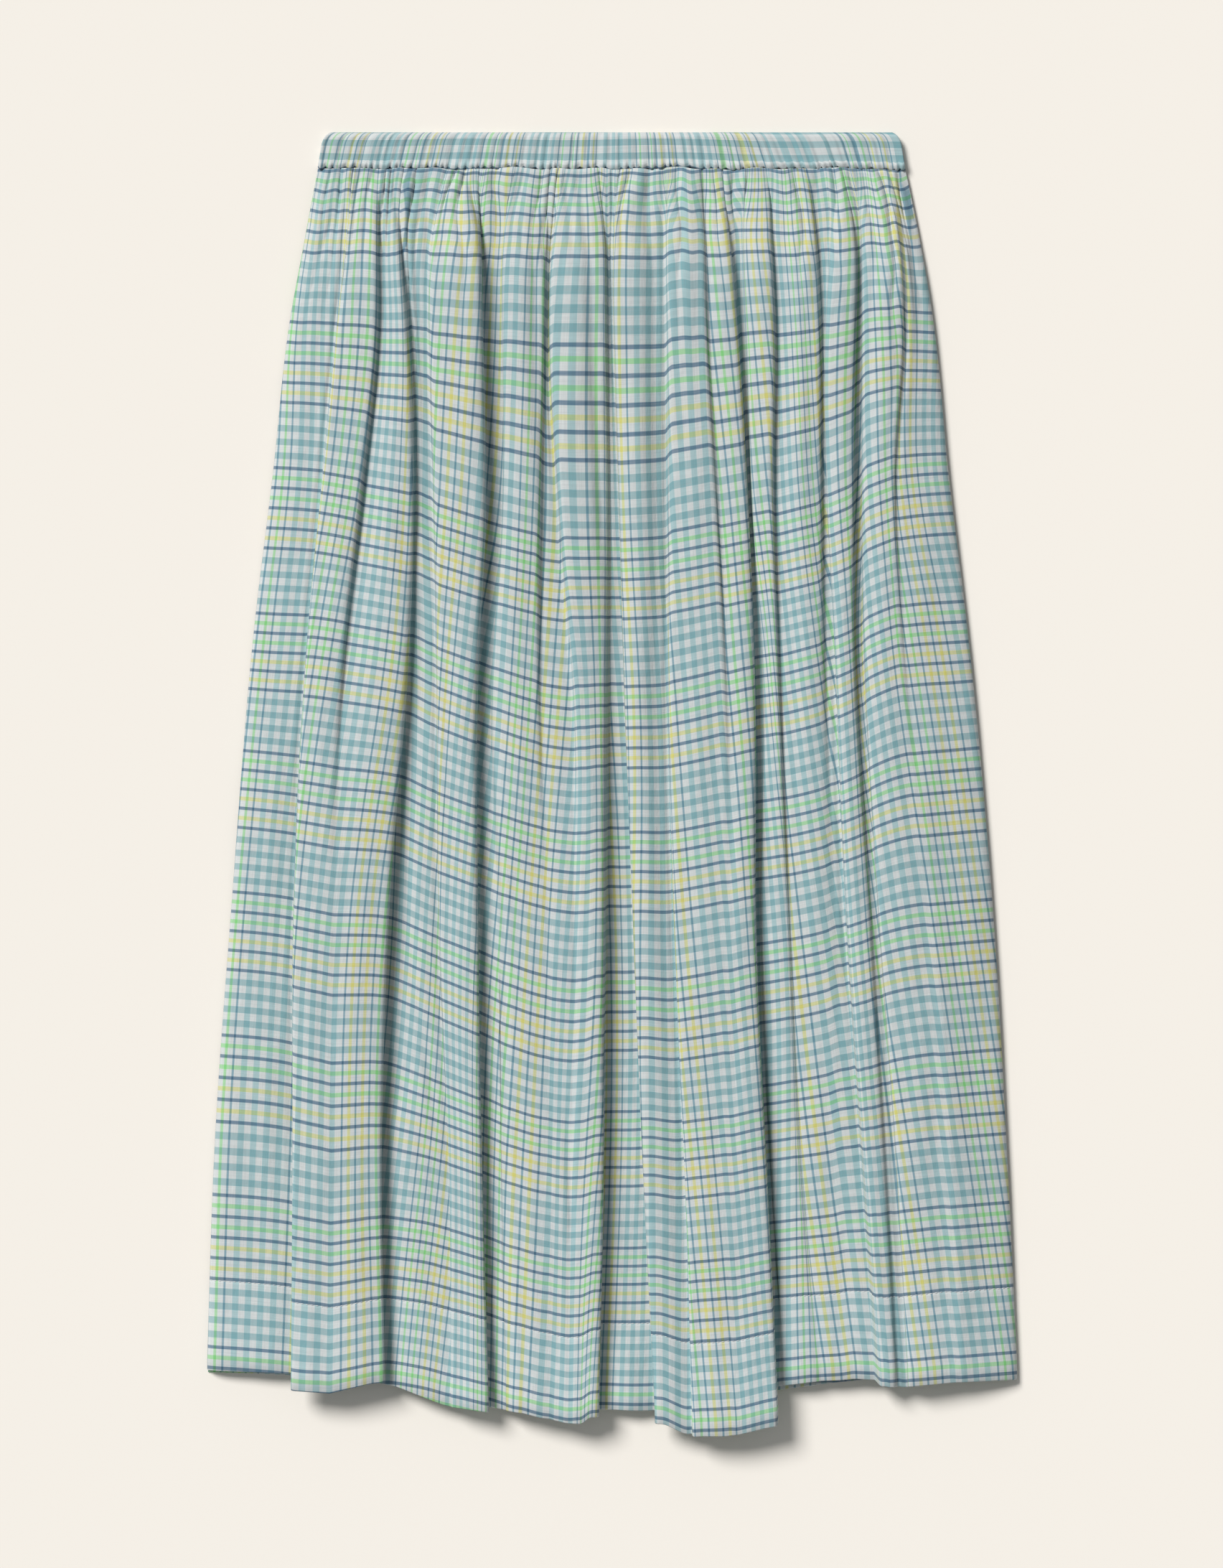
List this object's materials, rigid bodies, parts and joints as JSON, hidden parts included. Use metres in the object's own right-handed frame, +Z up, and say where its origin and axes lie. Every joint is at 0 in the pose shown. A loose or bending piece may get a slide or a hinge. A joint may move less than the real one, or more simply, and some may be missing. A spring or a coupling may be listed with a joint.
{
  "type": "gathered midi skirt",
  "caption": "Gathered calf-length skirt of woven check cotton with a narrow elastic waistband and a deep turned-up hem, lying flat with its front up.",
  "frame": {"origin": "centre of the skirt's footprint, on the surface it lies on", "axes": "+Y to the waist, -Y to the hem, +Z up, away from the surface, with the front facing up, and +X to the right of the picture"},
  "size_m": [0.553, 0.8878, 0.0243],
  "materials": {
    "check_cotton": "matt plain-woven cotton in a check of navy, blue, green and yellow lines and pale blue bars on white",
    "waistband_cotton": "the same matt check cotton, gathered over elastic"
  },
  "bodies": {
    "root": {"front_panel": "check_cotton", "back_panel": "check_cotton", "waistband_front": "waistband_cotton", "waistband_back": "waistband_cotton"}
  },
  "joints": []
}
